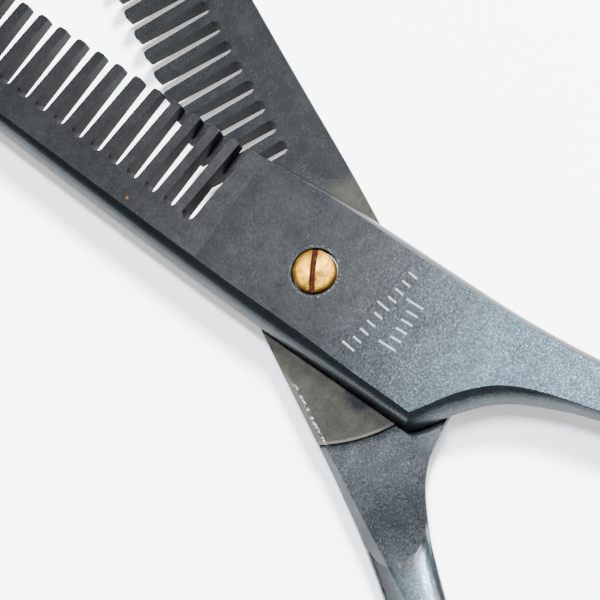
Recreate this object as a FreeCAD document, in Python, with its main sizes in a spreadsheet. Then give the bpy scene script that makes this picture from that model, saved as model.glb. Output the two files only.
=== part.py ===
import FreeCAD, Part
import math
import os
import Sketcher
from FreeCAD import Placement, Rotation, Vector

# Double-toothed thinning shears, opened at the pivot.
# Millimetres. Origin on the pivot axis at the resting surface, +Z up along the
# pivot axis, +Y towards the blade tips (the bisector of the opened blades).
#
# Each half is drawn closed, in a frame of its own: z = 0 is the ground inner face
# that meets the other half, +Z is towards its outer face, +Y towards its tip and
# +X towards its teeth. The upper half is then turned by half the opening angle;
# the lower half is the same forging turned over about Y and opened the other way.

doc = FreeCAD.newDocument("ThinningShears")
sheet = doc.addObject("Spreadsheet::Sheet", "Sizes")

CELLS = [
    ("half_thick", 2.8, "thickness of each half at the pivot"),
    ("ride_gap", 0.04, "running gap between the two ground faces"),
    ("half_open", 13.0, "each half stands this many degrees off the bisector"),
    ("side_wall", 0.55, "height of the vertical part of the side walls"),
    ("wall_sweep", 68.0, "degrees, how far the rounded side wall turns over to the crease"),
    ("slot_pitch", 2.19, "tooth pitch"),
    ("slot_width", 1.22, "width of the slots between the teeth"),
    ("tip_lean", 1.30, "degrees, the line of the tips leans in towards the spine"),
    ("tip_round", 0.32, "radius of the teeth's corners at the tips"),
    ("slot_total", 24, "number of slots in each blade"),
    ("slot_first", 12.85, "upper half, first slot, from the pivot"),
    ("slot_first_low", 12.66, "lower half, first slot, from the pivot"),
    ("slot_root", 2.6, "upper half, slot roots, to the spine side of the pivot line"),
    ("slot_root_low", 2.82, "lower half, slot roots, to the spine side of the pivot line"),
    ("slot_lean", 1.4, "degrees, the root line converges on the teeth line"),
    ("slot_out", 9.5, "slot cutter runs out past the tooth tips to here"),
    ("wedge_spine", 4.9, "outer face starts to fall away here, on the spine side"),
    ("wedge_drop", 1.72, "fall of the outer face at the far side of the cutter"),
    ("wedge_far", 8.0, "far side of the wedge cutter"),
    ("heel_start", 9.8, "heel of the ground outer face, from the pivot"),
    ("heel_end", 70.2, "wedge cutter ends past the nose"),
    ("ride_radius", 14.85, "radius of the riding land round the pivot"),
    ("relief_depth", 0.3, "relief of the inner face outside the riding land"),
    ("shank_cut", 33.0, "shank joint between blade and handle, behind the pivot"),
    ("bore_dia", 2.8, "pivot bore of the upper half"),
    ("cbore_dia", 4.24, "counterbore for the screw head"),
    ("cbore_depth", 0.95, "depth of the counterbore"),
    ("bush_dia", 4.0, "threaded bush, outside"),
    ("bush_flange", 5.0, "flange of the bush"),
    ("bush_flange_t", 0.55, "flange thickness"),
    ("bush_bore", 2.3, "bore of the bush"),
    ("bush_end", 0.5, "thickness of the bush's closed end"),
    ("washer_dia", 6.6, "friction washer, outside"),
    ("washer_recess", 6.8, "recess for the friction washer"),
    ("washer_depth", 0.3, "depth of that recess"),
    ("washer_thick", 0.33, "friction washer thickness"),
    ("washer_bore", 3.0, "friction washer bore"),
    ("head_dia", 3.8, "pivot screw head"),
    ("head_side", 0.9, "height of the cylindrical side of the head"),
    ("head_dome", 0.38, "height of the domed top"),
    ("slot_cut_w", 0.48, "screwdriver slot width"),
    ("slot_cut_d", 0.62, "screwdriver slot depth"),
    ("shank_dia", 2.7, "plain shank of the screw"),
    ("thread_dia", 2.2, "threaded end of the screw"),
    ("spring_dia", 4.0, "spring washer, outside"),
    ("spring_bore", 2.9, "spring washer bore"),
    ("spring_thick", 0.25, "spring washer thickness"),
    ("ring_x", 15.3, "ring centres, sideways from the pivot line"),
    ("thumb_y", 62.5, "thumb ring centre, behind the pivot"),
    ("finger_y", 69.4, "finger ring centre, behind the pivot"),
    ("ring_out", 14.4, "ring outside radius"),
    ("ring_mid", 12.3, "ring crown radius"),
    ("ring_bore", 10.6, "ring inside radius"),
    ("liner_bore", 9.4, "soft liner inside radius"),
    ("liner_half", 2.5, "half the height of the liner"),
    ("bumper_stem", 1.6, "stop bumper stem diameter"),
    ("bumper_head", 3.4, "stop bumper head diameter"),
    ("bumper_out", 2.38, "stop bumper stands this far out of the ring"),
    ("rest_dia", 3.4, "finger rest diameter at its root"),
    ("rest_tip", 2.5, "finger rest diameter at its tip"),
    ("rest_stud", 2.4, "threaded stud of the finger rest"),
    ("rest_stud_len", 2.4, "length of the stud inside the ring"),
    ("rest_hole", 2.5, "hole for the stud"),
]


class Dim(object):
    """A size from the sheet: its value, and the expression that reads it."""

    def __init__(self, value, text):
        self.v = float(value)
        self.e = text

    def _mix(self, other, sign, swap=False):
        if isinstance(other, Dim):
            ov, oe = other.v, other.e
        else:
            ov, oe = float(other), repr(float(other))
        a, b = (ov, self.v) if swap else (self.v, ov)
        ta, tb = (oe, self.e) if swap else (self.e, oe)
        if sign == "+":
            r = a + b
        elif sign == "-":
            r = a - b
        elif sign == "*":
            r = a * b
        else:
            r = a / b
        return Dim(r, "(%s %s %s)" % (ta, sign, tb))

    def __add__(self, o):
        return self._mix(o, "+")

    def __radd__(self, o):
        return self._mix(o, "+", True)

    def __sub__(self, o):
        return self._mix(o, "-")

    def __rsub__(self, o):
        return self._mix(o, "-", True)

    def __mul__(self, o):
        return self._mix(o, "*")

    def __rmul__(self, o):
        return self._mix(o, "*", True)

    def __truediv__(self, o):
        return self._mix(o, "/")

    def __neg__(self):
        return Dim(-self.v, "(-1 * %s)" % self.e)


P = {}
for i, (alias, value, note) in enumerate(CELLS, start=1):
    sheet.set("A%d" % i, alias)
    sheet.set("B%d" % i, str(value))
    sheet.setAlias("B%d" % i, alias)
    sheet.set("C%d" % i, note)
    P[alias] = Dim(value, "Sizes." + alias)
doc.recompute()


def val(d):
    return d.v if isinstance(d, Dim) else float(d)


def plane(body, role):
    for f in body.Origin.OriginFeatures:
        if f.Role == role:
            return f
    raise RuntimeError("no plane " + role)


def new_body(name):
    b = doc.addObject("PartDesign::Body", name)
    b.Label = name
    return b


def new_sketch(body, name, role="XY_Plane", height=0.0, turn=0.0):
    s = body.newObject("Sketcher::SketchObject", name)
    s.AttachmentSupport = [(plane(body, role), "")]
    s.MapMode = "FlatFace"
    s.AttachmentOffset = Placement(Vector(0, 0, val(height)),
                                   Rotation(Vector(0, 0, 1), val(turn)))
    if isinstance(height, Dim):
        s.setExpression("AttachmentOffset.Base.z", height.e)
    if isinstance(turn, Dim):
        s.setExpression("AttachmentOffset.Rotation.Angle", turn.e)
    return s


def fix_point(s, geo, pos, x, y):
    """Ties one point of the sketch to the origin, by expression where given."""
    for kind, axis, d in (("DistanceX", -2, x), ("DistanceY", -1, y)):
        if not isinstance(d, Dim) and abs(d) < 1e-9:
            s.addConstraint(Sketcher.Constraint("PointOnObject", geo, pos, axis))
            continue
        n = s.addConstraint(Sketcher.Constraint(kind, -1, 1, geo, pos, val(d)))
        if isinstance(d, Dim):
            s.setExpression("Constraints[%d]" % n, d.e)


def polygon(s, pts):
    """Closed outline of straight edges whose corners are tied to the sheet."""
    n = len(pts)
    first = s.GeometryCount
    for i in range(n):
        a, b = pts[i], pts[(i + 1) % n]
        s.addGeometry(Part.LineSegment(Vector(val(a[0]), val(a[1]), 0),
                                       Vector(val(b[0]), val(b[1]), 0)), False)
    for i in range(n):
        s.addConstraint(Sketcher.Constraint("Coincident", first + i, 2,
                                            first + (i + 1) % n, 1))
    for i in range(n):
        fix_point(s, first + i, 1, pts[i][0], pts[i][1])


def circle(s, x, y, radius):
    g = s.addGeometry(Part.Circle(Vector(val(x), val(y), 0), Vector(0, 0, 1),
                                  val(radius)), False)
    n = s.addConstraint(Sketcher.Constraint("Radius", g, val(radius)))
    if isinstance(radius, Dim):
        s.setExpression("Constraints[%d]" % n, radius.e)
    if not isinstance(x, Dim) and not isinstance(y, Dim) and x == 0 and y == 0:
        s.addConstraint(Sketcher.Constraint("Coincident", g, 3, -1, 1))
    else:
        fix_point(s, g, 3, x, y)


def spline(s, pts):
    c = Part.BSplineCurve()
    c.interpolate([Vector(x, y, 0) for x, y in pts])
    s.addGeometry(c, False)


def line(s, a, b):
    s.addGeometry(Part.LineSegment(Vector(a[0], a[1], 0), Vector(b[0], b[1], 0)), False)


def pad(body, s, length, name):
    f = body.newObject("PartDesign::Pad", name)
    f.Profile = s
    f.Length = val(length)
    if isinstance(length, Dim):
        f.setExpression("Length", length.e)
    doc.recompute()
    return f


def pocket(body, s, length, name, both=False, through=False, reverse=False):
    before, faces = body.Shape.Volume, len(body.Shape.Faces)
    f = body.newObject("PartDesign::Pocket", name)
    f.Profile = s
    if through:
        f.Type = "ThroughAll"
        f.Midplane = True
    else:
        f.Length = val(length)
        if isinstance(length, Dim):
            f.setExpression("Length", length.e)
        f.Midplane = both
        f.Reversed = reverse
    doc.recompute()
    if not body.Shape.Volume < before - 1e-4 and len(body.Shape.Faces) == faces:
        raise RuntimeError("pocket %s cuts nothing" % name)
    return f


def revolve(body, s, name):
    f = body.newObject("PartDesign::Revolution", name)
    f.Profile = s
    f.ReferenceAxis = (s, ["V_Axis"])
    f.Angle = 360
    doc.recompute()
    return f


# ---- outlines of a half, drawn closed ----------------------------------------
# widest outline (at the side walls) and the crease round the outer face; both are
# the same five runs, so that the bevel between them is ruled run by run
CUT = P["shank_cut"].v
RIGHT = [(5.74, 12.0), (5.95, 9.8), (6.35, 6.9), (6.6, 3.5), (6.75, 0.0), (6.85, -4.0),
         (6.92, -8.5), (7.0, -13.0), (7.12, -17.0), (7.42, -21.0), (7.88, -25.0),
         (8.45, -29.0), (9.10, -CUT)]
RIGHT_K = [(5.74, 12.0), (5.74, 9.6), (5.95, 6.9), (6.17, 3.5), (6.26, 0.0), (6.27, -4.0),
           (6.22, -8.5), (6.34, -13.0), (6.57, -17.0), (6.80, -21.0), (7.12, -25.0),
           (7.58, -29.0), (8.16, -CUT)]
SHANK = [(4.93, -CUT), (4.25, -30.6), (3.45, -28.1), (2.45, -25.0), (1.55, -22.9),
         (0.75, -21.3), (-0.16, -19.96), (-1.35, -18.66), (-2.76, -17.50),
         (-3.89, -16.66), (-5.15, -15.86), (-6.55, -14.7)]
SHANK_K = [(5.75, -CUT), (4.92, -30.9), (4.08, -28.2), (3.10, -24.65), (2.50, -22.75),
           (1.85, -21.2), (1.04, -19.70), (-0.08, -18.35), (-1.38, -17.14),
           (-2.88, -16.08), (-4.08, -15.33), (-5.32, -14.52)]
SPINE = [(-6.55, -14.7), (-6.57, -11.0), (-6.59, -7.0), (-6.61, -3.0), (-6.62, 1.0),
         (-6.5, 9.0), (-6.32, 15.0), (-6.12, 21.0), (-5.87, 27.0), (-5.6, 33.0),
         (-5.15, 42.0), (-4.45, 51.0), (-3.5, 58.5), (-2.2, 63.8)]
SPINE_K = [(-5.32, -14.52), (-5.3, -11.0), (-5.27, -7.0), (-5.12, -3.0), (-5.1, 1.0),
           (-5.03, 9.0), (-4.86, 15.0), (-4.67, 21.0), (-4.47, 27.0), (-4.26, 33.0),
           (-3.9, 42.0), (-3.3, 51.0), (-2.5, 58.5), (-1.3, 63.0)]
NOSE = [(-2.2, 63.8), (-0.5, 66.9), (1.4, 68.0), (3.2, 67.3), (4.38, 65.6), (4.56, 63.9)]
NOSE_K = [(-1.3, 63.0), (0.2, 65.7), (1.5, 66.7), (2.8, 66.2), (3.95, 65.1), (4.56, 63.9)]


# the finger half: a broader point, shorter teeth and a heavier shank
RIGHT_2 = [(5.12, 12.0), (5.62, 9.8), (6.15, 6.9), (6.52, 3.5), (6.75, 0.0), (6.85, -4.0),
           (6.92, -8.5), (7.0, -13.0), (7.12, -17.0), (7.42, -21.0), (7.88, -25.0),
           (8.45, -29.0), (9.10, -CUT)]
RIGHT_K2 = [(5.12, 12.0), (5.38, 9.6), (5.80, 6.9), (6.10, 3.5)] + RIGHT_K[4:]
SHANK_2 = [(3.95, -CUT), (3.42, -30.6), (2.93, -28.3), (2.16, -25.2), (1.42, -23.25),
           (0.62, -21.35), (-0.22, -19.98), (-1.35, -18.66), (-2.76, -17.50),
           (-3.89, -16.66), (-5.15, -15.86), (-6.55, -14.7)]
SHANK_K2 = [(4.85, -CUT), (4.25, -30.9), (3.72, -28.2), (2.95, -24.65), (2.40, -22.75),
            (1.80, -21.2)] + SHANK_K[6:]
SPINE_2 = [(-6.55, -14.7), (-6.60, -11.0), (-6.67, -7.0), (-6.73, -3.0), (-6.78, 1.0),
           (-6.68, 9.0), (-6.45, 15.0), (-6.26, 21.0), (-6.11, 27.0), (-5.92, 33.0),
           (-5.46, 42.0), (-4.74, 51.0), (-3.75, 58.5), (-2.35, 63.9)]
SPINE_K2 = [(-5.32, -14.52), (-5.3, -11.0), (-5.3, -7.0), (-5.25, -3.0), (-5.25, 1.0),
            (-5.2, 9.0), (-5.0, 15.0), (-4.82, 21.0), (-4.68, 27.0), (-4.55, 33.0),
            (-4.2, 42.0), (-3.6, 51.0), (-2.75, 58.5), (-1.45, 63.1)]
NOSE_2 = [(-2.35, 63.9), (-0.7, 66.9), (1.1, 68.0), (2.85, 67.3), (3.82, 65.6), (3.96, 63.9)]
NOSE_K2 = [(-1.45, 63.1), (0.0, 65.7), (1.25, 66.7), (2.45, 66.2), (3.42, 65.1), (3.96, 63.9)]

TABLES = {True: ((RIGHT, SHANK, SPINE, NOSE), (RIGHT_K, SHANK_K, SPINE_K, NOSE_K)),
          False: ((RIGHT_2, SHANK_2, SPINE_2, NOSE_2), (RIGHT_K2, SHANK_K2, SPINE_K2, NOSE_K2))}

RULED = True


def mix(a, b, t):
    return [(p[0] + (q[0] - p[0]) * t, p[1] + (q[1] - p[1]) * t) for p, q in zip(a, b)]


def outline(s, right, shank, spine, nose):
    line(s, nose[-1], right[0])
    spline(s, right)
    line(s, right[-1], shank[0])
    spline(s, shank)
    spline(s, spine)
    spline(s, nose)


def blade(name, upper):
    """Toothed blade, ricasso and the first part of the shank."""
    b = new_body(name)
    wall = P["side_wall"]
    s = new_sketch(b, name + "_outline")
    wide, crease = TABLES[upper]
    outline(s, *wide)
    pad(b, s, wall, name + "_wall")

    # the wall turns over to the crease like a quarter of an ellipse, in five sections
    sweep = math.radians(P["wall_sweep"].v)
    levels = []
    for k in range(6):
        t = sweep * k / 5.0
        up = math.sin(t) / math.sin(sweep)
        inset = (1.0 - math.cos(t)) / (1.0 - math.cos(sweep))
        sk = new_sketch(b, "%s_wall_%d" % (name, k),
                        height=wall + (P["half_thick"] - wall) * up)
        outline(sk, *[mix(a, c, inset) for a, c in zip(wide, crease)])
        levels.append(sk)
    doc.recompute()
    f = b.newObject("PartDesign::AdditiveLoft", name + "_round")
    f.Profile = levels[0]
    f.Sections = levels[1:]
    f.Ruled = RULED
    doc.recompute()

    # the outer face falls from the spine to the teeth, forward of the heel
    mid = (P["heel_start"] + P["heel_end"]) / 2.0
    s = new_sketch(b, name + "_fall", role="XZ_Plane", height=-mid)
    z1 = P["half_thick"]
    polygon(s, [(-P["wedge_spine"], z1), (P["wedge_far"], z1 - P["wedge_drop"]),
                (P["wedge_far"], z1 + 1.0), (-P["wedge_spine"], z1 + 1.0)])
    pocket(b, s, P["heel_end"] - P["heel_start"], name + "_wedge", both=True)

    # slots between the teeth
    s = new_sketch(b, name + "_slot", turn=P["slot_lean"] * -1.0)
    w = P["slot_width"].v / 2.0
    root = P["slot_root"] if upper else P["slot_root_low"]
    first = P["slot_first"] if upper else P["slot_first_low"]
    c = math.cos(math.radians(P["slot_lean"].v))
    sn = math.sin(math.radians(P["slot_lean"].v))
    # first slot's centre in the leaning sketch
    x0 = -root.v * c - first.v * sn
    y0 = first.v * c - root.v * sn
    xe = P["slot_out"].v
    s.addGeometry(Part.LineSegment(Vector(x0 + w, y0 + w, 0), Vector(xe, y0 + w, 0)), False)
    s.addGeometry(Part.LineSegment(Vector(xe, y0 + w, 0), Vector(xe, y0 - w, 0)), False)
    s.addGeometry(Part.LineSegment(Vector(xe, y0 - w, 0), Vector(x0 + w, y0 - w, 0)), False)
    s.addGeometry(Part.ArcOfCircle(Part.Circle(Vector(x0 + w, y0, 0), Vector(0, 0, 1), w),
                                   math.pi / 2, 3 * math.pi / 2), False)
    s.addConstraint(Sketcher.Constraint("Tangent", 0, 1, 3, 1))
    s.addConstraint(Sketcher.Constraint("Coincident", 0, 2, 1, 1))
    s.addConstraint(Sketcher.Constraint("Coincident", 1, 2, 2, 1))
    s.addConstraint(Sketcher.Constraint("Tangent", 2, 2, 3, 2))
    s.addConstraint(Sketcher.Constraint("Horizontal", 0))
    s.addConstraint(Sketcher.Constraint("Horizontal", 2))
    s.addConstraint(Sketcher.Constraint("Vertical", 1))
    n = s.addConstraint(Sketcher.Constraint("Radius", 3, w))
    s.setExpression("Constraints[%d]" % n, (P["slot_width"] / 2.0).e)
    fix_point(s, 3, 3, x0 + w, y0)
    n = s.addConstraint(Sketcher.Constraint("DistanceX", -1, 1, 1, 1, xe))
    s.setExpression("Constraints[%d]" % n, P["slot_out"].e)
    cut = pocket(b, s, 0, name + "_first_slot", through=True)
    pat = b.newObject("PartDesign::LinearPattern", name + "_slots")
    pat.Originals = [cut]
    pat.Direction = (s, ["V_Axis"])
    pat.Mode = "Spacing"
    pat.Offset = P["slot_pitch"].v
    pat.Occurrences = int(P["slot_total"].v)
    pat.setExpression("Offset", P["slot_pitch"].e)
    pat.setExpression("Occurrences", P["slot_total"].e)
    b.Tip = pat
    doc.recompute()

    # rounded corners where each slot opens, stepped along the line of the tips
    (ax, ay), (bx, by) = wide[0][0], wide[3][-1]
    fall = math.atan2(ax - bx, by - ay)
    cf, sf = math.cos(fall), math.sin(fall)
    s = new_sketch(b, name + "_mouth", turn=P["tip_lean"])
    tip = ax * cf + ay * sf
    lean = math.radians(P["slot_lean"].v)
    # the first slot's centre line meets the line of the tips here, along that line
    along = tip - (-root.v * cf + first.v * sf)
    cy = root.v * sf + first.v * cf - along * math.tan(lean + fall)
    rr = P["tip_round"].v
    e = 0.02
    yt, yb = cy + w - e, cy - w + e
    q = [Vector(a, d, 0) for a, d in ((tip - rr, yt), (tip, yt + rr), (tip + 1.2, yt + rr),
                                      (tip + 1.2, yb - rr), (tip, yb - rr), (tip - rr, yb))]
    up = Vector(0, 0, 1)
    s.addGeometry(Part.ArcOfCircle(Part.Circle(Vector(tip - rr, yt + rr, 0), up, rr),
                                   1.5 * math.pi, 2.0 * math.pi), False)
    s.addGeometry(Part.LineSegment(q[1], q[2]), False)
    s.addGeometry(Part.LineSegment(q[2], q[3]), False)
    s.addGeometry(Part.LineSegment(q[3], q[4]), False)
    s.addGeometry(Part.ArcOfCircle(Part.Circle(Vector(tip - rr, yb - rr, 0), up, rr),
                                   0.0, 0.5 * math.pi), False)
    s.addGeometry(Part.LineSegment(q[5], q[0]), False)
    for a, ea, d, ed in ((0, 2, 1, 1), (1, 2, 2, 1), (2, 2, 3, 1), (3, 2, 4, 1),
                         (4, 2, 5, 1), (5, 2, 0, 1)):
        s.addConstraint(Sketcher.Constraint("Coincident", a, ea, d, ed))
    for k in (1, 3):
        s.addConstraint(Sketcher.Constraint("Horizontal", k))
    for k in (2, 5):
        s.addConstraint(Sketcher.Constraint("Vertical", k))
    for k in (0, 4):
        n = s.addConstraint(Sketcher.Constraint("Radius", k, rr))
        s.setExpression("Constraints[%d]" % n, P["tip_round"].e)
    cut = pocket(b, s, 0, name + "_first_mouth", through=True)
    pat = b.newObject("PartDesign::LinearPattern", name + "_mouths")
    pat.Originals = [cut]
    pat.Direction = (s, ["V_Axis"])
    pat.Mode = "Spacing"
    pat.Offset = P["slot_pitch"].v
    pat.Occurrences = int(P["slot_total"].v)
    pat.setExpression("Offset", P["slot_pitch"].e)
    pat.setExpression("Occurrences", P["slot_total"].e)
    b.Tip = pat
    doc.recompute()

    # relief of the inner face behind the riding land
    s = new_sketch(b, name + "_relief")
    r = P["ride_radius"].v
    a1, a2 = math.radians(207.0), math.radians(317.0)
    p1 = Vector(r * math.cos(a1), r * math.sin(a1), 0)
    p2 = Vector(r * math.cos(a2), r * math.sin(a2), 0)
    s.addGeometry(Part.ArcOfCircle(Part.Circle(Vector(0, 0, 0), Vector(0, 0, 1), r), a1, a2), False)
    n = s.addConstraint(Sketcher.Constraint("Radius", 0, r))
    s.setExpression("Constraints[%d]" % n, P["ride_radius"].e)
    far = [p2, Vector(20, p2.y, 0), Vector(20, -40, 0), Vector(-20, -40, 0),
           Vector(-20, p1.y, 0), p1]
    for q1, q2 in zip(far[:-1], far[1:]):
        s.addGeometry(Part.LineSegment(q1, q2), False)
    pocket(b, s, P["relief_depth"], name + "_relief_cut", reverse=True)

    # pivot
    s = new_sketch(b, name + "_bore")
    circle(s, 0, 0, (P["bore_dia"] if upper else P["bush_dia"]) / 2.0)
    pocket(b, s, 0, name + "_pivot", through=True)
    s = new_sketch(b, name + "_cbore", height=P["half_thick"])
    circle(s, 0, 0, (P["cbore_dia"] if upper else P["bush_flange"]) / 2.0)
    pocket(b, s, P["cbore_depth"] if upper else P["bush_flange_t"], name + "_counterbore")
    if not upper:
        s = new_sketch(b, name + "_washer_seat")
        circle(s, 0, 0, P["washer_recess"] / 2.0)
        pocket(b, s, P["washer_depth"], name + "_washer_recess", reverse=True)
    return b


def shank_rounding(name, upper):
    """What is taken off the shank where the forging turns from flat to round."""
    # distance along, left edge, right edge, lowest z, highest z
    rows = [(-15.5, -9.0, 7.36, -1.6, 4.4), (-18.5, -2.6, 7.34, -0.90, 4.2),
            (-21.5, 0.10, 7.53, -0.36, 3.9), (-23.8, 1.30, 7.76, -0.02, 3.55)]
    if upper:
        rows += [(-25.5, 2.25, 7.97, 0.26, 3.25), (-27.5, 3.12, 8.23, 0.40, 3.02),
                 (-30.0, 4.02, 8.63, 0.47, 2.88), (-CUT, 4.93, 9.10, 0.50, 2.80),
                 (-CUT - 2.0, 5.45, 9.50, 0.50, 2.78)]
    else:
        rows += [(-25.5, 2.02, 7.97, 0.26, 3.25), (-27.5, 2.70, 8.23, 0.40, 3.02),
                 (-30.0, 3.28, 8.63, 0.47, 2.88), (-CUT, 3.95, 9.10, 0.50, 2.80),
                 (-CUT - 2.0, 4.45, 9.48, 0.50, 2.78)]
    wires = []
    for y, left, right, z0, z1 in rows:
        wires.append(section((left + right) / 2.0, y, -math.pi / 2, right - left, z0, z1, 4.0, 28))
    bar = Part.makeLoft(wires, True, False)
    block = Part.makeBox(30, CUT + 1.0 - 15.6, 9, Vector(-12, -CUT - 1.0, -3))
    f = doc.addObject("Part::Feature", name)
    f.Label = name
    f.Shape = block.cut(bar)
    return f


def section(cx, cy, heading, width, z0, z1, power=2.5, n=20):
    """Closed rounded section of the bow handle, square to its heading."""
    ux, uy = math.cos(heading + math.pi / 2), math.sin(heading + math.pi / 2)
    zc, hz = (z0 + z1) / 2.0, (z1 - z0) / 2.0
    pts = []
    for k in range(n):
        t = 2 * math.pi * k / n
        c, s = math.cos(t), math.sin(t)
        a = math.copysign(abs(c) ** (2.0 / power), c) * width / 2.0
        z = math.copysign(abs(s) ** (2.0 / power), s) * hz
        pts.append(Vector(cx + ux * a, cy + uy * a, zc + z))
    c = Part.BSplineCurve()
    c.interpolate(pts, PeriodicFlag=True)
    return Part.Wire([c.toShape()])


def handle(name, ring_y, stops):
    """Cast bow handle: a shank that grows out of the blade, and the finger ring."""
    rx, ro, rm, rb = P["ring_x"].v, P["ring_out"].v, P["ring_mid"].v, P["ring_bore"].v
    wires = [section(*row) for row in stops]
    shank = Part.makeLoft(wires, True, True)
    hz = P["half_thick"].v
    outer = [Vector(rm + (ro - rm) * math.cos(t), 0, hz * math.sin(t))
             for t in [math.pi / 2 * k / 8.0 for k in range(-8, 9)]]
    curve = Part.BSplineCurve()
    curve.interpolate(outer)
    rim = [Vector(rm, 0, hz), Vector(rb + 0.45, 0, hz - 0.45), Vector(rb, 0, hz - 1.15),
           Vector(rb, 0, -hz + 1.15), Vector(rb + 0.45, 0, -hz + 0.45), Vector(rm, 0, -hz)]
    edges = [curve.toShape()] + [Part.makeLine(a, b) for a, b in zip(rim[:-1], rim[1:])]
    face = Part.Face(Part.Wire(Part.__sortEdges__(edges)))
    ring = face.revolve(Vector(0, 0, 0), Vector(0, 0, 1), 360)
    ring = Part.Solid(ring) if ring.ShapeType != "Solid" else ring
    ring.translate(Vector(rx, -ring_y, 0))
    hole = Part.makeCylinder(rb, 12, Vector(rx, -ring_y, -6))
    body = shank.fuse(ring).cut(hole)
    return body


# the shank's stations: centre x, y, heading, width, lowest z, highest z
def stations(ring_y, upper):
    rx = P["ring_x"].v
    k = (ring_y - 50.6) / 11.9     # 1 for the thumb ring
    y = [-CUT, -CUT - 5.0 * k, -CUT - 9.6 * k, -CUT - 13.9 * k, -ring_y + 11.5]
    x = [7.015 if upper else 6.53, 8.10 if upper else 7.85, 9.20, 10.30, rx - 4.2]
    w = [4.16, 3.95, 3.95, 4.15, 4.3] if upper else [5.10, 4.50, 4.10, 4.15, 4.3]
    zl = [0.50, 0.10, -0.95, -1.85, -2.25]
    zh = [2.80, 2.76, 2.72, 2.68, 2.25]
    rows = []
    for i in range(5):
        a, b = max(i - 1, 0), min(i + 1, 4)
        h = math.atan2(y[b] - y[a], x[b] - x[a])
        if i == 0:
            h = -math.pi / 2
        rows.append((x[i], y[i], h, w[i], zl[i], zh[i], 4.0 - 0.375 * i))
    return rows


half_z = P["half_thick"]
up_place = Placement(Vector(0, 0, (half_z + P["ride_gap"]).v),
                     Rotation(Vector(0, 0, 1), P["half_open"].v))
low_place = Placement(Vector(0, 0, half_z.v),
                      Rotation(Vector(0, 0, 1), -P["half_open"].v)
                      .multiply(Rotation(Vector(0, 1, 0), 180)))

nodes = []

# ---- the two blades ------------------------------------------------------------
for name, upper, place in (("thumb_blade", True, up_place),
                           ("finger_blade", False, low_place)):
    forging = blade(name + "_forging", upper)
    rounding = shank_rounding(name + "_rounding", upper)
    cut = doc.addObject("Part::Cut", name)
    cut.Base = forging
    cut.Tool = rounding
    cut.Label = name
    doc.recompute()
    cut.Placement = place
    doc.recompute()
    nodes.append(cut)

# ---- the two bow handles -------------------------------------------------------
# the bumper stands on the thumb ring, on the line between the closed rings' centres
rx, ty, fy, ro = P["ring_x"].v, P["thumb_y"].v, P["finger_y"].v, P["ring_out"].v
span = math.hypot(2 * rx, fy - ty)
bdir = Vector(-2 * rx / span, -(fy - ty) / span, 0)
bfoot = Vector(rx, -ty, 0) + bdir * ro
thumb_shape = handle("thumb_handle", ty, stations(ty, True))
stem = Part.makeCylinder(P["bumper_stem"].v / 2.0, 2.2, bfoot - bdir * 2.0, bdir)
thumb_shape = thumb_shape.cut(stem)

rest_angle = math.radians(-72.0)
rdir = Vector(math.cos(rest_angle), math.sin(rest_angle), 0)
rfoot = Vector(rx, -fy, 0) + rdir * ro
finger_shape = handle("finger_handle", fy, stations(fy, False))
seat = Part.makeCylinder(P["rest_hole"].v / 2.0, 4.0,
                         rfoot - rdir * (P["rest_stud_len"].v + 0.1), rdir)
flat = Part.makeCylinder(P["rest_dia"].v / 2.0 + 0.25, 2.0, rfoot - rdir * 0.35, rdir)
finger_shape = finger_shape.cut(seat).cut(flat)

for name, shape, place in (("thumb_handle", thumb_shape, up_place),
                           ("finger_handle", finger_shape, low_place)):
    f = doc.addObject("Part::Feature", name)
    f.Label = name
    f.Shape = shape.Solids[0] if shape.ShapeType == "Compound" else shape
    f.Placement = place
    nodes.append(f)

# ---- pivot screw: domed slotted head, plain shank, threaded end ---------------
floor = half_z * 2.0 + P["ride_gap"] - P["cbore_depth"]
under = floor + P["spring_thick"] + 0.02
side_top = under + P["head_side"]
top = side_top + P["head_dome"]
screw = new_body("pivot_screw")
s = new_sketch(screw, "screw_profile", role="XZ_Plane")
hr, sr, tr = P["head_dia"] / 2.0, P["shank_dia"] / 2.0, P["thread_dia"] / 2.0
neck = half_z - P["washer_depth"] + 0.05
tail = P["bush_end"] + 0.1
s.addGeometry(Part.LineSegment(Vector(0, top.v, 0), Vector(0, tail.v, 0)), False)
s.addGeometry(Part.LineSegment(Vector(0, tail.v, 0), Vector(tr.v - 0.2, tail.v, 0)), False)
s.addGeometry(Part.LineSegment(Vector(tr.v - 0.2, tail.v, 0), Vector(tr.v, tail.v + 0.2, 0)), False)
s.addGeometry(Part.LineSegment(Vector(tr.v, tail.v + 0.2, 0), Vector(tr.v, neck.v, 0)), False)
s.addGeometry(Part.LineSegment(Vector(tr.v, neck.v, 0), Vector(sr.v, neck.v, 0)), False)
s.addGeometry(Part.LineSegment(Vector(sr.v, neck.v, 0), Vector(sr.v, under.v, 0)), False)
s.addGeometry(Part.LineSegment(Vector(sr.v, under.v, 0), Vector(hr.v, under.v, 0)), False)
s.addGeometry(Part.LineSegment(Vector(hr.v, under.v, 0), Vector(hr.v, side_top.v, 0)), False)
dome = (hr.v ** 2 + P["head_dome"].v ** 2) / (2 * P["head_dome"].v)
mid_r = hr.v * 0.5
mid_z = top.v - dome + math.sqrt(dome ** 2 - mid_r ** 2)
arc = Part.Arc(Vector(hr.v, side_top.v, 0), Vector(mid_r, mid_z, 0), Vector(0, top.v, 0))
s.addGeometry(arc, False)
for i in range(7):
    s.addConstraint(Sketcher.Constraint("Coincident", i, 2, i + 1, 1))
fix_point(s, 0, 1, 0.0, top)
fix_point(s, 0, 2, 0.0, tail)
fix_point(s, 1, 2, tr - 0.2, tail)
fix_point(s, 2, 2, tr, tail + 0.2)
fix_point(s, 3, 2, tr, neck)
fix_point(s, 4, 2, sr, neck)
fix_point(s, 5, 2, sr, under)
fix_point(s, 6, 2, hr, under)
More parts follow.
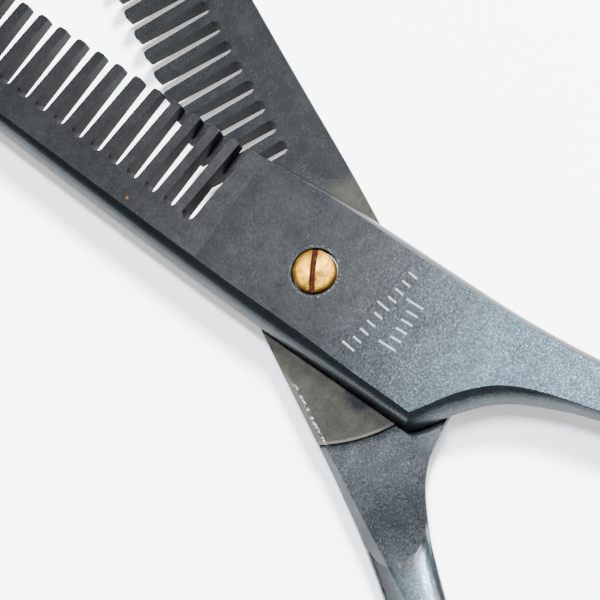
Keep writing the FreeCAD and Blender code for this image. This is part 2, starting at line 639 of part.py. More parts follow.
fix_point(s, 7, 2, hr, side_top)
revolve(screw, s, "screw_turned")
s = new_sketch(screw, "driver_slot", height=top)
hw = P["slot_cut_w"] / 2.0
polygon(s, [(-hw, hr * -1.2), (hw, hr * -1.2), (hw, hr * 1.2), (-hw, hr * 1.2)])
pocket(screw, s, P["slot_cut_d"], "driver_slot_cut")
screw.Placement = Placement(Vector(0, 0, 0), Rotation(Vector(0, 0, 1), -45.0))
nodes.append(screw)


def ring_body(name, r_out, r_in, z0, z1, ease=0.0):
    """A turned washer, bush or sleeve; ease chamfers its outer corners."""
    b = new_body(name)
    s = new_sketch(b, name + "_profile", role="XZ_Plane")
    if ease:
        polygon(s, [(r_in, z0), (r_out - ease, z0), (r_out, z0 + ease), (r_out, z1 - ease),
                    (r_out - ease, z1), (r_in, z1)])
    else:
        polygon(s, [(r_in, z0), (r_out, z0), (r_out, z1), (r_in, z1)])
    revolve(b, s, name + "_turned")
    nodes.append(b)
    return b


spring = ring_body("spring_washer", P["spring_dia"] / 2.0, P["spring_bore"] / 2.0,
                   floor + 0.01, floor + P["spring_thick"] + 0.01)
ring_body("friction_washer", P["washer_dia"] / 2.0, P["washer_bore"] / 2.0,
          half_z - P["washer_depth"], half_z - P["washer_depth"] + P["washer_thick"], 0.06)

# flanged blind bush, pressed in from the underside of the lower half
bush = new_body("threaded_bush")
s = new_sketch(bush, "bush_profile", role="XZ_Plane")
polygon(s, [(0.0, 0.0), (P["bush_flange"] / 2.0, 0.0),
            (P["bush_flange"] / 2.0, P["bush_flange_t"]), (P["bush_dia"] / 2.0, P["bush_flange_t"]),
            (P["bush_dia"] / 2.0, half_z - P["washer_depth"]),
            (P["bush_bore"] / 2.0, half_z - P["washer_depth"]),
            (P["bush_bore"] / 2.0, P["bush_end"]), (0.0, P["bush_end"])])
revolve(bush, s, "bush_turned")
nodes.append(bush)

# ---- soft liners in the rings ---------------------------------------------------
for name, place, y in (("thumb_ring_liner", up_place, P["thumb_y"]),
                       ("finger_ring_liner", low_place, P["finger_y"])):
    b = ring_body(name, P["ring_bore"], P["liner_bore"],
                  -P["liner_half"], P["liner_half"])
    chamfer = b.newObject("PartDesign::Chamfer", name + "_ease")
    tip = b.Shape
    inner = []
    for k, e in enumerate(tip.Edges, start=1):
        if hasattr(e.Curve, "Radius") and abs(e.Curve.Radius - P["liner_bore"].v) < 1e-6:
            inner.append("Edge%d" % k)
    chamfer.Base = (b.Tip if b.Tip != chamfer else b.Group[-2], inner)
    chamfer.Size = 0.5
    b.Tip = chamfer
    doc.recompute()
    centre = Placement(Vector(P["ring_x"].v, -y.v, 0), Rotation())
    b.Placement = place.multiply(centre)

# ---- stop bumper ----------------------------------------------------------------
b = new_body("stop_bumper")
s = new_sketch(b, "bumper_profile", role="XZ_Plane")
st, hd, out = P["bumper_stem"] / 2.0, P["bumper_head"] / 2.0, P["bumper_out"]
polygon(s, [(0.0, -1.9), (st, -1.9), (st, 0.12), (hd, 0.12), (hd * 0.97, out * 0.66),
            (hd * 0.75, out * 0.92), (hd * 0.36, out), (0.0, out)])
revolve(b, s, "bumper_turned")
turn = Rotation(Vector(0, 0, 1), bdir)
b.Placement = up_place.multiply(Placement(bfoot, turn))
nodes.append(b)

# ---- finger rest: threaded stud and a curved, tapering horn ---------------------
horn = []
pos = rfoot - rdir * 0.33
ang = rest_angle
steps = 12
length = 21.0
for k in range(steps + 1):
    t = k / float(steps)
    r = (P["rest_dia"].v * (1 - t) + P["rest_tip"].v * t) / 2.0
    if k == steps:
        r = r * 0.55
    if k == steps - 1:
        r = r * 0.93
    d = Vector(math.cos(ang), math.sin(ang), 0)
    horn.append(Part.Wire([Part.Circle(Vector(pos), d, r).toShape()]))
    stepl = length / steps if k < steps - 1 else 0.75
    ang2 = ang + math.radians(62.0) * (0.35 + 1.1 * t) / steps
    pos = pos + Vector(math.cos((ang + ang2) / 2), math.sin((ang + ang2) / 2), 0) * stepl
    ang = ang2
rest = Part.makeLoft(horn, True, False)
stud = Part.makeCylinder(P["rest_stud"].v / 2.0, P["rest_stud_len"].v,
                         rfoot - rdir * P["rest_stud_len"].v, rdir)
rest = rest.fuse(stud)
f = doc.addObject("Part::Feature", "finger_rest")
f.Label = "finger_rest"
f.Shape = rest.Solids[0] if rest.ShapeType == "Compound" else rest
f.Placement = low_place
nodes.append(f)

doc.recompute()
for o in doc.Objects:
    bad = [t for t in o.State if t in ("Invalid", "Error")]
    if bad:
        raise RuntimeError("%s is %s" % (o.Label, bad))
os.makedirs("parts", exist_ok=True)
for o in nodes:
    sh = o.Shape
    if sh.isNull() or not sh.isValid() or not sh.Solids:
        raise RuntimeError("%s has a bad shape" % o.Label)
    bb = sh.BoundBox
    print("%-20s solids %d vol %8.2f  x %7.2f %7.2f  y %7.2f %7.2f  z %6.2f %6.2f" % (
        o.Label, len(sh.Solids), sh.Volume, bb.XMin, bb.XMax, bb.YMin, bb.YMax, bb.ZMin, bb.ZMax))
    sh.exportStep("parts/%s.step" % o.Label)
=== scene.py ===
import bpy, bmesh, math
from mathutils import Vector, Matrix

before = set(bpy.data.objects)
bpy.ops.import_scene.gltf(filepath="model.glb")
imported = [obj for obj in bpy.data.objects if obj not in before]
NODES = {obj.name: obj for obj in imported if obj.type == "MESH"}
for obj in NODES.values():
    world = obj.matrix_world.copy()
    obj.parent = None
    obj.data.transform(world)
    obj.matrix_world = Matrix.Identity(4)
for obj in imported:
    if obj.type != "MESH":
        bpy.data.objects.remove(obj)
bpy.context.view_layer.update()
MM = 0.001


# ---------------------------------------------------------------- shader helpers
class X:
    """A value in a node tree, with the usual arithmetic."""

    def __init__(self, tree, sock):
        self.t, self.s = tree, sock

    def op(self, kind, *others):
        n = self.t.nodes.new("ShaderNodeMath")
        n.operation = kind
        self.t.links.new(self.s, n.inputs[0])
        for i, o in enumerate(others):
            if isinstance(o, X):
                self.t.links.new(o.s, n.inputs[i + 1])
            else:
                n.inputs[i + 1].default_value = float(o)
        return X(self.t, n.outputs[0])

    def __add__(self, o): return self.op("ADD", o)
    def __radd__(self, o): return self.op("ADD", o)
    def __sub__(self, o): return self.op("SUBTRACT", o)
    def __rsub__(self, o): return (self * -1.0) + o
    def __mul__(self, o): return self.op("MULTIPLY", o)
    def __rmul__(self, o): return self.op("MULTIPLY", o)
    def __truediv__(self, o): return self.op("DIVIDE", o)
    def __neg__(self): return self * -1.0
    def __pow__(self, o): return self.op("POWER", o)
    def min(self, o): return self.op("MINIMUM", o)
    def max(self, o): return self.op("MAXIMUM", o)
    def abs(self): return self.op("ABSOLUTE")
    def sqrt(self): return self.op("SQRT")
    def sin(self): return self.op("SINE")

    def step(self, a, b, lo=0.0, hi=1.0):
        """Smoothly from lo at a to hi at b."""
        n = self.t.nodes.new("ShaderNodeMapRange")
        n.interpolation_type = "SMOOTHSTEP"
        if a > b:
            a, b, lo, hi = b, a, hi, lo
        n.inputs["From Min"].default_value = a
        n.inputs["From Max"].default_value = b
        n.inputs["To Min"].default_value = lo
        n.inputs["To Max"].default_value = hi
        self.t.links.new(self.s, n.inputs["Value"])
        return X(self.t, n.outputs["Result"])


class Shade:
    """A Principled material with object coordinates in millimetres."""

    def __init__(self, name):
        self.m = bpy.data.materials.new(name)
        self.m.use_nodes = True
        self.t = self.m.node_tree
        self.b = self.t.nodes["Principled BSDF"]
        tc = self.t.nodes.new("ShaderNodeTexCoord")
        sc = self.t.nodes.new("ShaderNodeVectorMath"); sc.operation = "SCALE"
        sc.inputs["Scale"].default_value = 1000.0
        self.t.links.new(tc.outputs["Object"], sc.inputs[0])
        self.p = sc.outputs[0]
        sp = self.t.nodes.new("ShaderNodeSeparateXYZ")
        self.t.links.new(self.p, sp.inputs[0])
        self.x, self.y, self.z = [X(self.t, sp.outputs[i]) for i in range(3)]
        g = self.t.nodes.new("ShaderNodeNewGeometry")
        tr = self.t.nodes.new("ShaderNodeVectorTransform")
        tr.vector_type = "NORMAL"; tr.convert_from = "WORLD"; tr.convert_to = "OBJECT"
        self.t.links.new(g.outputs["True Normal"], tr.inputs[0])
        sn = self.t.nodes.new("ShaderNodeSeparateXYZ")
        self.t.links.new(tr.outputs[0], sn.inputs[0])
        self.nx, self.ny, self.nz = [X(self.t, sn.outputs[i]) for i in range(3)]

    def vec(self, x, y, z=0.0):
        n = self.t.nodes.new("ShaderNodeCombineXYZ")
        for i, v in enumerate((x, y, z)):
            if isinstance(v, X):
                self.t.links.new(v.s, n.inputs[i])
            else:
                n.inputs[i].default_value = v
        return n.outputs[0]

    def noise(self, scale, detail=2.0, rough=0.5, vec=None, shift=(0, 0, 0), stretch=(1, 1, 1)):
        mp = self.t.nodes.new("ShaderNodeMapping")
        self.t.links.new(self.p if vec is None else vec, mp.inputs["Vector"])
        mp.inputs["Location"].default_value = shift
        mp.inputs["Scale"].default_value = stretch
        n = self.t.nodes.new("ShaderNodeTexNoise")
        n.inputs["Scale"].default_value = scale
        n.inputs["Detail"].default_value = detail
        n.inputs["Roughness"].default_value = rough
        self.t.links.new(mp.outputs[0], n.inputs["Vector"])
        return X(self.t, n.outputs[0])

    def cells(self, scale, vec=None, shift=(0, 0, 0)):
        mp = self.t.nodes.new("ShaderNodeMapping")
        self.t.links.new(self.p if vec is None else vec, mp.inputs["Vector"])
        mp.inputs["Location"].default_value = shift
        n = self.t.nodes.new("ShaderNodeTexVoronoi")
        n.inputs["Scale"].default_value = scale
        self.t.links.new(mp.outputs[0], n.inputs["Vector"])
        return X(self.t, n.outputs["Distance"])

    def speck(self, scale, vec, shift=(0, 0, 0)):
        """A random level per small grain, 0 to 1."""
        mp = self.t.nodes.new("ShaderNodeMapping")
        self.t.links.new(vec, mp.inputs["Vector"])
        mp.inputs["Location"].default_value = shift
        n = self.t.nodes.new("ShaderNodeTexVoronoi")
        n.inputs["Scale"].default_value = scale
        self.t.links.new(mp.outputs[0], n.inputs["Vector"])
        sp = self.t.nodes.new("ShaderNodeSeparateColor")
        self.t.links.new(n.outputs["Color"], sp.inputs[0])
        return X(self.t, sp.outputs[0])

    def mix(self, fac, a, b):
        """Colours a and b mixed by fac."""
        n = self.t.nodes.new("ShaderNodeMix"); n.data_type = "RGBA"
        self.t.links.new(fac.s, n.inputs[0])
        for i, v in ((6, a), (7, b)):
            if isinstance(v, tuple):
                n.inputs[i].default_value = v + (1.0,)
            else:
                self.t.links.new(v, n.inputs[i])
        return n.outputs[2]

    def scale_colour(self, col, fac):
        n = self.t.nodes.new("ShaderNodeVectorMath"); n.operation = "SCALE"
        if isinstance(col, tuple):
            n.inputs[0].default_value = col
        else:
            self.t.links.new(col, n.inputs[0])
        self.t.links.new(fac.s, n.inputs["Scale"])
        return n.outputs[0]

    def put(self, key, v):
        if isinstance(v, X):
            self.t.links.new(v.s, self.b.inputs[key])
        elif isinstance(v, (int, float)):
            self.b.inputs[key].default_value = v
        elif isinstance(v, tuple):
            self.b.inputs[key].default_value = v + (1.0,)
        else:
            self.t.links.new(v, self.b.inputs[key])

    def bump(self, height_mm, strength=1.0):
        n = self.t.nodes.new("ShaderNodeBump")
        n.inputs["Strength"].default_value = strength
        n.inputs["Distance"].default_value = MM
        self.t.links.new(height_mm.s, n.inputs["Height"])
        self.t.links.new(n.outputs[0], self.b.inputs["Normal"])

    def give(self, o):
        me = o.data
        me.materials.clear()
        me.materials.append(self.m)


def capsule(s, x, y, a, b, r, soft=0.03):
    """1 inside a stroke of radius r from a to b, in the plane x, y."""
    dx, dy = b[0] - a[0], b[1] - a[1]
    q = dx * dx + dy * dy
    t = (((x - a[0]) * dx + (y - a[1]) * dy) * (1.0 / q)).max(0.0).min(1.0)
    ex = x - a[0] - t * dx
    ey = y - a[1] - t * dy
    return (ex * ex + ey * ey).sqrt().step(r + soft, r - soft)


A = math.radians(13.0)
CA, SA = math.cos(A), math.sin(A)
HALF_T = 2.8
RIDE = 14.85


# ---------------------------------------------------------------- coated steel, thumb half
def coated_upper():
    s = Shade("coated steel, thumb half")
    u = s.x * CA + s.y * SA
    v = s.y * CA - s.x * SA
    w = s.z - 2.84
    q = s.vec(u, v, w)
    top = s.nz.step(0.75, 0.9)
    cloud = s.noise(0.16, 3, 0.55, q, (3, 1, 0))
    blot = s.noise(0.9, 4, 0.6, q, (0, 7, 2))
    grain = s.noise(7.0, 2, 0.6, q)
    fine = s.noise(14.0, 1, 0.5, q, (5, 0, 0))
    along = s.noise(1.4, 3, 0.6, q, (0, 0, 4), (3.0, 0.25, 3.0))
    tone = 0.80 + cloud * 0.22 + blot * 0.10 + along * 0.10
    # painted shade and painted highlight: darker in the field of the teeth, lighter towards the shank
    tone = tone * v.step(4.0, 16.0, 1.0, 0.84) * v.step(-9.0, -27.0, 1.0, 1.25)
    col = s.scale_colour((0.0034, 0.0039, 0.0044), tone)
    # bright wear where the inner face's edge was dressed, behind the corner
    edge = w.step(0.17, 0.10) * v.step(-13.6, -14.6) * u.step(7.2, 6.2) * s.nz.abs().step(0.6, 0.4)
    chip = edge * (s.noise(2.2, 3, 0.7, q, (9, 0, 0)) + v * -0.006).step(0.36, 0.48)
    # creases and tooth edges polished by handling
    crest = w.step(2.60, 2.76) * s.nz.step(0.85, 0.55)
    rub = crest * s.noise(1.1, 4, 0.7, q, (2, 2, 0)).step(0.42, 0.62) * 0.55
    col = s.mix(rub, col, (0.035, 0.037, 0.039))
    col = s.mix(chip, col, (0.30, 0.29, 0.27))
    # maker's field: plain index strokes, laser marked
    marks = None
    rows = (((-4.09, -6.51), (5.06, -7.38), 10, 0.62), ((-2.12, -9.46), (3.06, -9.21), 6, 0.80))
    for (ax, ay), (bx, by), count, half in rows:
        dx, dy = bx - ax, by - ay
        L = math.hypot(dx, dy); px, py = -dy / L, dx / L
        for k in range(count):
            f = (k + 0.5) / count
            cx, cy = ax + dx * f, ay + dy * f
            h = half * (1.0 if k % 5 == 0 else 0.62)
            c = capsule(s, u, v, (cx - px * half, cy - py * half),
                        (cx - px * half + px * 2 * h, cy - py * half + py * 2 * h), 0.085, 0.035)
            marks = c if marks is None else marks.max(c)
    flat = s.nz.step(0.97, 0.99)
    marks = marks * flat * (s.noise(6.0, 3, 0.7, q, (1, 4, 1)).step(0.30, 0.46) * 0.75 + 0.2)
    col = s.mix(marks, col, (0.15, 0.152, 0.15))
    brushed = s.noise(2.6, 3, 0.65, q, (0, 3, 0), (0.22, 3.2, 1.0))
    ring = ((u * u + v * v).sqrt() - 2.28 + (blot - 0.5) * 0.25).abs().step(0.16, 0.02)
    ring = ring * s.noise(5.0, 3, 0.7, q, (4, 0, 2)).step(0.50, 0.64) * flat
    col = s.mix(ring * 0.8, col, (0.030, 0.032, 0.034))
    # one speck of rust between the teeth
    rust = capsule(s, u, v, (-4.1, 18.25), (-4.05, 18.35), 0.10, 0.06) * top
    col = s.mix(rust * 0.8, col, (0.08, 0.028, 0.006))
    # pale dust in small specks
    dust = s.cells(1.15, s.vec(u, v, 0.0), (0, 3, 0)).step(0.060, 0.03) * top
    col = s.mix(dust * 0.5, col, (0.07, 0.072, 0.075))
    s.put("Base Color", col)
    s.put("Metallic", 0.0)
    s.put("Roughness", (0.190 + grain * 0.06 + blot * 0.05) + marks * 0.25 + s.nz.step(0.85, 0.4) * 0.14)
    spark = s.noise(6.0, 1, 0.5, q, (2, 9, 1)).step(0.50, 0.78)
    spark = spark * v.step(-2.0, -16.0, 0.7, 2.2)
    slotw = s.nz.abs().step(0.5, 0.3) * v.step(11.6, 12.2) * u.step(-3.4, -3.0)
    tilt = s.nz.step(0.997, 0.992) * top * v.step(9.0, 9.6)
    wallz = s.nz.step(0.35, 0.85, 0.42, 1.0)
    # the blasted grain under the coating: each grain glints or not
    glint = s.speck(8.5, s.vec(u, v, 0.0)) - 0.5
    glint2 = s.speck(5.5, s.vec(u, v, 3.0), (3, 1, 0)) - 0.5
    mottle = s.noise(5.0, 2, 0.6, q, (6, 6, 0)) - 0.5
    glint = (glint + 0.5) * (glint + 0.5) * (glint + 0.5) * 1.5 + (glint2 + 0.5) * (glint2 + 0.5) * 0.5
    glint = 0.66 + (glint + mottle * 1.2) * v.step(2.0, -14.0, 0.26, 0.70)
    # the ring of scuffs round the screw's seat
    rr = (u * u + v * v).sqrt()
    scuff = (rr - 2.28 + (blot - 0.5) * 0.25).abs().step(0.16, 0.02) * s.noise(5.0, 3, 0.7, q, (4, 0, 2)).step(0.50, 0.64) * flat
    glint = (glint - 1.0) * s.nz.step(0.6, 0.95) + 1.0
    level = (0.26 + spark * 0.16 + (cloud - 0.5) * 0.30 + (blot - 0.5) * 0.14).max(0.17)
    level = level * (1.0 - slotw * 0.80) * (1.0 - tilt * v.step(9.6, 20.0, 0.08, 0.34)) * wallz * glint.max(0.45)
    # painted highlight: the reflection is made stronger towards the shank and tinted bluish there and on the
    # walls, warm on the rest of the face
    s.put("Specular IOR Level", level * v.step(-6.0, -18.0, 0.96, 1.72) + scuff * 0.5)
    painted_blue_sheen_zone = v.step(-3.0, -20.0).max(s.nz.step(0.97, 0.90))
    s.put("Specular Tint", s.mix(painted_blue_sheen_zone, (1.0, 0.965, 0.94), (0.69, 0.89, 1.0)))
    flatness = s.nz.step(0.6, 0.95, 0.12, 1.0)
    s.bump((grain * 0.0048 + fine * 0.0030 + along * 0.003) * v.step(-8.0, -16.0, 1.0, 0.32) * v.step(8.0, 9.5, 1.0, 0.45) * flatness - marks * 0.008, 1.0)
    return s


# ---------------------------------------------------------------- coated steel, finger half
def coated_lower():
    s = Shade("coated steel, finger half")
    u = -(s.x * CA - s.y * SA)
    v = s.y * CA + s.x * SA
    w = HALF_T - s.z
    q = s.vec(u, v, w)
    r = (u * u + v * v).sqrt()
    inner = s.nz.step(0.8, 0.95)
    cloud = s.noise(0.16, 3, 0.55, q, (1, 5, 0))
    blot = s.noise(0.55, 4, 0.6, q, (0, 2, 2))
    grain = s.noise(7.0, 2, 0.6, q)
    fine = s.noise(14.0, 1, 0.5, q, (5, 0, 0))
    tone = 0.80 + cloud * 0.25 + blot * 0.12
    col = s.scale_colour((0.0034, 0.0039, 0.0044), tone)
    # the riding land, worn to metal by the other half, browned in the middle
    edge_noise = s.noise(1.3, 4, 0.65, q, (4, 4, 0))
    land = (r + (edge_noise - 0.5) * 0.25).step(RIDE + 0.10, RIDE - 0.06) * inner * v.step(8.5, 6.0)
    worn = s.noise(0.42, 5, 0.62, q, (6.2, 1.5, 0))
    worn2 = s.noise(3.5, 3, 0.7, q, (0, 1.5, 0))
    landc = s.mix(worn.step(0.38, 0.62), (0.0095, 0.0086, 0.0068), (0.0165, 0.0155, 0.0128))
    landc = s.scale_colour(landc, 0.50 + worn2 * 0.3)
    patch = ((u - 0.4) * (u - 0.4) * 0.14 + (v + 10.4) * (v + 10.4) * 0.30 + (worn - 0.5) * 3.0).step(1.6, 0.9)
    landc = s.mix(patch * 0.8, landc, (0.0030, 0.0033, 0.0036))
    col = s.mix(land, col, landc)
    # forward part of the inner face, hollow ground and brushed across
    brush = s.noise(1.8, 3, 0.6, q, (0, 0, 0), (0.35, 6.0, 1.0))
    fore = inner * v.step(6.0, 8.5)
    forec = s.scale_colour((0.0036, 0.0040, 0.0044), 0.72 + brush * 0.55)
    col = s.mix(fore, col, forec)
    # bright ragged line just inside the rubbed edge of the land, and the round beyond it
    rag = s.noise(1.5, 5, 0.75, q, (3, 8, 0))
    back = v.step(-6.5, -8.5) * inner * land
    lip = (u - 6.40 - (rag - 0.5) * 0.95).abs().step(0.17, 0.02) * s.noise(2.0, 4, 0.7, q, (7, 3, 0)).step(0.46, 0.56) * back
    out = u.step(6.44, 6.60) * inner * v.step(-5.0, -7.0)
    col = s.mix(out * 0.8, col, (0.030, 0.031, 0.031))
    col = s.mix(lip, col, (0.22, 0.215, 0.205))
    arc = (r - RIDE + 0.16 + (edge_noise - 0.5) * 0.1).abs().step(0.16, 0.03) * land
    col = s.mix(arc * 0.8, col, (0.040, 0.038, 0.034))
    # the last of the flat, brushed aslant, and the round of the shank after it, left smooth and given a painted
    # bluish highlight
    turned = s.vec(u * 0.93 + v * 0.37, v * 0.93 - u * 0.37, 0.0)
    slant = s.noise(2.6, 4, 0.7, turned, (0, 0, 0), (0.16, 5.0, 1.0))
    end = v.step(-18.5, -22.5) * inner
    beyond = w.step(0.325, 0.40) * s.nz.step(0.55, 0.85) * v.step(-20.0, -22.0)
    # slot walls keep the grinder's finish
    wall = s.nz.abs().step(0.5, 0.3)
    slotw = wall * v.step(11.0, 11.6) * u.step(-3.0, -2.7) * (u.step(5.3, 4.9))
    col = s.mix(slotw * 0.8, col, (0.012, 0.0123, 0.0125))
    dust = s.cells(1.3, s.vec(u, v, 0.0), (0, 3, 0)).step(0.060, 0.03) * inner
    col = s.mix(dust * 0.4, col, (0.03, 0.032, 0.034))
    s.put("Base Color", col)
    s.put("Metallic", land * 0.0)
    s.put("Roughness", (0.190 + grain * 0.06 + blot * 0.05) + land * 0.05 + slotw * 0.3)
    spark = s.noise(6.0, 1, 0.5, q, (2, 9, 1)).step(0.50, 0.78) * (0.5 + r.step(RIDE - 1.0, RIDE + 1.0) * v.step(2.0, -2.0) * 1.1)
    # the reflection is weaker on the end of the flat and stronger on the shank, a painted highlight there
    level = (0.27 + spark * 0.18 + (blot - 0.5) * 0.34).max(0.17) * v.step(-16.0, -23.0, 1.0, 0.40) * v.step(-22.5, -26.0, 1.0, 2.3)
    level = level * (1.0 - fore * 0.40) * (1.0 - patch * land * 0.60)
    # painted highlight: a strong reflection on the round of the shank
    level = level * (1.0 - beyond) + beyond * (0.62 + spark * 0.2)
    glint = s.speck(8.5, s.vec(u, v, 0.0)) - 0.5
    glint2 = s.speck(5.5, s.vec(u, v, 3.0), (3, 1, 0)) - 0.5
    mottle = s.noise(5.0, 2, 0.6, q, (6, 6, 0)) - 0.5
    rearward = v.step(2.0, -2.0)
    rough_zone = r.step(RIDE - 0.2, RIDE + 0.3) * rearward
    glint = (glint + 0.5) * (glint + 0.5) * (glint + 0.5) * 1.5 + (glint2 + 0.5) * (glint2 + 0.5) * 0.5
    level = level * (0.72 + (glint + mottle * 1.2) * (0.20 + rough_zone * 0.30))
    level = level * (1.0 - land * r.step(RIDE - 7.0, RIDE - 1.0, 0.20, 0.42))
    # painted shade just outside the step arc, in the recess below the land: the reflection is dimmed there
    arc_recess_shade = (r - RIDE).step(0.9, 0.05) * r.step(RIDE, RIDE + 0.05) * inner * rearward
    level = level * (1.0 - arc_recess_shade * 0.6)
    s.put("Specular IOR Level", level.max(0.04) * (1.0 - slotw * 0.7))
    # reflection tints: a painted bluish sheen on the round of the shank, warm on the forward face, brown on the
    # worn land
    tint = s.mix(beyond, (0.98, 0.98, 0.97), (0.76, 0.93, 1.0))
    tint = s.mix(fore, tint, (1.0, 0.965, 0.93))
    s.put("Specular Tint", s.mix(land * (1.0 - patch), tint, (1.0, 0.90, 0.76)))
    outer = r.step(RIDE, RIDE + 0.4) * v.step(2.0, -2.0)
    s.bump(grain * (0.0042 + outer * 0.0020) + fine * 0.0030 + fore * brush * 0.010 + end * slant * 0.012 * (1.0 - beyond), 1.0)
    return s


def coated_plain(name, colour, rough, metal, grain_mm, seed):
    s = Shade(name)
    cloud = s.noise(0.18, 3, 0.55, None, seed)
    grain = s.noise(7.0, 2, 0.6, None, seed)
    fine = s.noise(14.0, 1, 0.5, None, seed)
    col = s.scale_colour(colour, 0.82 + cloud * 0.28 + grain * 0.08)
    rubbed = s.noise(0.8, 5, 0.7, None, seed).step(0.60, 0.72) * s.nz.abs().step(0.35, 0.1)
    col = s.mix(rubbed * 0.35, col, (0.03, 0.031, 0.032))
    s.put("Base Color", col)
    s.put("Metallic", metal)
    s.put("Roughness", rough + grain * 0.07)
    s.put("Specular IOR Level", 0.28)
    s.bump(grain * grain_mm + fine * grain_mm * 0.5, 1.0)
    return s


def brass():
    s = Shade("brass")
    r = (s.x * s.x + s.y * s.y).sqrt()
    rings = (r * 2 * math.pi / 0.15).sin()
    soft = s.noise(1.2, 4, 0.6, None, (2, 0, 1))
    grain = s.noise(8.0, 3, 0.7, None, (0, 4, 1))
    # along the slot and across it
    B = math.radians(-45.0)
    a = s.x * math.cos(B) + s.y * math.sin(B)
    c = s.y * math.cos(B) - s.x * math.sin(B)
    slot = a.abs().step(0.30, 0.24)
    col = s.mix(soft.step(0.35, 0.65), (0.25, 0.110, 0.006), (0.50, 0.265, 0.022))
    col = s.scale_colour(col, 0.85 + grain * 0.3 + rings * 0.13)
    rim = r.step(1.55, 1.85)
    col = s.mix(rim * 0.35, col, (0.10, 0.045, 0.008))
    grime = (s.noise(2.6, 4, 0.7, None, (1, 1, 0)) + r * 0.10).step(0.58, 0.74)
    col = s.mix(grime * 0.45, col, (0.07, 0.035, 0.014))
    dirt = a.abs().step(0.285, 0.22) * r.step(1.95, 1.85)
    dn = s.noise(3.2, 4, 0.7, None, (0, 0, 5))
    col = s.mix(dirt, col, (0.030, 0.014, 0.006))
    col = s.mix(dirt * dn.step(0.40, 0.50), col, (0.022, 0.0022, 0.0012))
    s.put("Base Color", col)
    s.put("Metallic", 0.97 - dirt * 0.95)
    s.put("Roughness", 0.30 + grain * 0.14 + grime * 0.25 + dirt * 0.3)
    s.put("Specular IOR Level", 0.5 - dirt * 0.46)
    s.bump(rings * 0.0110 * (1.0 - dirt) + grain * 0.012 + dn * dirt * 0.10, 1.0)
    return s


def steel(name, colour, rough, seed):
    s = Shade(name)
    g = s.noise(5.0, 3, 0.6, None, seed)
    col = s.scale_colour(colour, 0.8 + g * 0.4)
    s.put("Base Color", col)
    s.put("Metallic", 0.9)
    s.put("Roughness", rough + g * 0.12)
    s.bump(g * 0.003, 1.0)
    return s


def polymer(name, colour, rough, seed, grain_mm=0.004):
    s = Shade(name)
    g = s.noise(4.0, 3, 0.6, None, seed)
    c = s.noise(0.5, 3, 0.6, None, seed)
    col = s.scale_colour(colour, 0.85 + g * 0.15 + c * 0.15)
    s.put("Base Color", col)
    s.put("Roughness", rough + g * 0.15)
    s.bump(g * grain_mm, 1.0)
    return s


UPPER = coated_upper()
LOWER = coated_lower()
HANDLE = coated_plain("coated handle", (0.0034, 0.0039, 0.0044), 0.22, 0.0, 0.0070, (1, 2, 3))
REST = coated_plain("coated rest", (0.0034, 0.0039, 0.0044), 0.22, 0.0, 0.0060, (7, 2, 3))
BRASS = brass()
SPRING = steel("spring steel", (0.12, 0.117, 0.11), 0.32, (1, 1, 1))
NYLON = polymer("nylon washer", (0.22, 0.21, 0.185), 0.42, (4, 1, 1))
LINER = polymer("liner rubber", (0.0045, 0.0047, 0.0050), 0.55, (2, 5, 1), 0.006)
BUMPER = polymer("bumper rubber", (0.0060, 0.0060, 0.0062), 0.60, (2, 5, 8), 0.006)
FINISH = {"thumb_blade": UPPER, "finger_blade": LOWER, "thumb_handle": HANDLE,
          "finger_handle": HANDLE, "finger_rest": REST, "pivot_screw": BRASS,
          "threaded_bush": BRASS, "spring_washer": SPRING, "friction_washer": NYLON,
          "thumb_ring_liner": LINER, "finger_ring_liner": LINER, "stop_bumper": BUMPER}
for name, o in NODES.items():
    FINISH[name].give(o)

# CAD nodes: weld the facets' corners; on the two blades, break the sharp edges a little
EDGE = {"thumb_blade": 0.045, "finger_blade": 0.045}
for name, o in NODES.items():
    w = o.modifiers.new("weld", "WELD"); w.merge_threshold = 2e-6
    if name in EDGE:
        b = o.modifiers.new("bevel", "BEVEL")
        b.width = EDGE[name] * MM; b.segments = 2; b.limit_method = "ANGLE"
        b.angle_limit = math.radians(38); b.harden_normals = False
        b.use_clamp_overlap = True


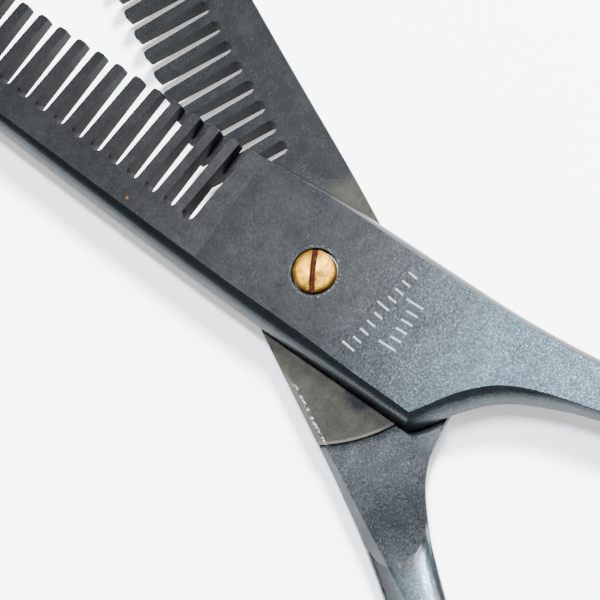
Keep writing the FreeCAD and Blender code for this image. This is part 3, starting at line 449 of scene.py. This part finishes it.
# ---------------------------------------------------------------- stage, light, camera
bpy.ops.mesh.primitive_plane_add(size=3, location=(0, 0, -0.00005))
floor = bpy.context.object
floor.name = "floor"
F = Shade("pale floor")
fn = F.noise(0.012, 2, 0.5)
F.put("Base Color", F.mix(fn, (0.80, 0.795, 0.785), (0.86, 0.855, 0.85)))
F.put("Roughness", 0.9)
F.put("Emission Color", (1.0, 0.98, 0.955))
F.put("Emission Strength", 0.60)
F.give(floor)


def area(name, loc, size, watts, colour=(1, 1, 1), size_y=None):
    l = bpy.data.lights.new(name, "AREA")
    l.shape = "RECTANGLE"; l.size = size; l.size_y = size_y or size
    l.energy = watts; l.color = colour
    o = bpy.data.objects.new(name, l)
    bpy.context.scene.collection.objects.link(o)
    z = Vector(loc).normalized()
    x = Vector((0, 1, 0)).cross(z).normalized()
    y = z.cross(x)
    o.matrix_world = Matrix(((x[0], y[0], z[0], loc[0]), (x[1], y[1], z[1], loc[1]),
                             (x[2], y[2], z[2], loc[2]), (0, 0, 0, 1)))
    return o


area("key", (0.475, 0.215, 0.675), 0.17, 50.0)
area("sheen", (0.135, 0.085, 0.886), 0.07, 22.0, (0.80, 0.90, 1.0), 0.32)
area("window", (0.62, -0.51, 0.42), 0.30, 12.0, (0.74, 0.88, 1.0))
world = bpy.data.worlds.new("world")
bpy.context.scene.world = world
world.use_nodes = True
bg = world.node_tree.nodes["Background"]
bg.inputs[0].default_value = (0.92, 0.96, 1.0, 1)
bg.inputs[1].default_value = 0.32

cam = bpy.data.cameras.new("camera")
co = bpy.data.objects.new("camera", cam)
bpy.context.scene.collection.objects.link(co)
R = (0.74716956, -0.62071732, -0.23758716)
U = (0.6644655, 0.7056596, 0.2460287)
c = (0.01494138, -0.34169363, 0.93969262)
C = (0.00338774983, -0.13764361513, 0.38116689142)
co.matrix_world = Matrix(((R[0], U[0], c[0], C[0]), (R[1], U[1], c[1], C[1]),
                          (R[2], U[2], c[2], C[2]), (0, 0, 0, 1)))
cam.sensor_width = 36
cam.lens = 276.0
cam.clip_start = 0.01
cam.clip_end = 10
bpy.context.scene.camera = co
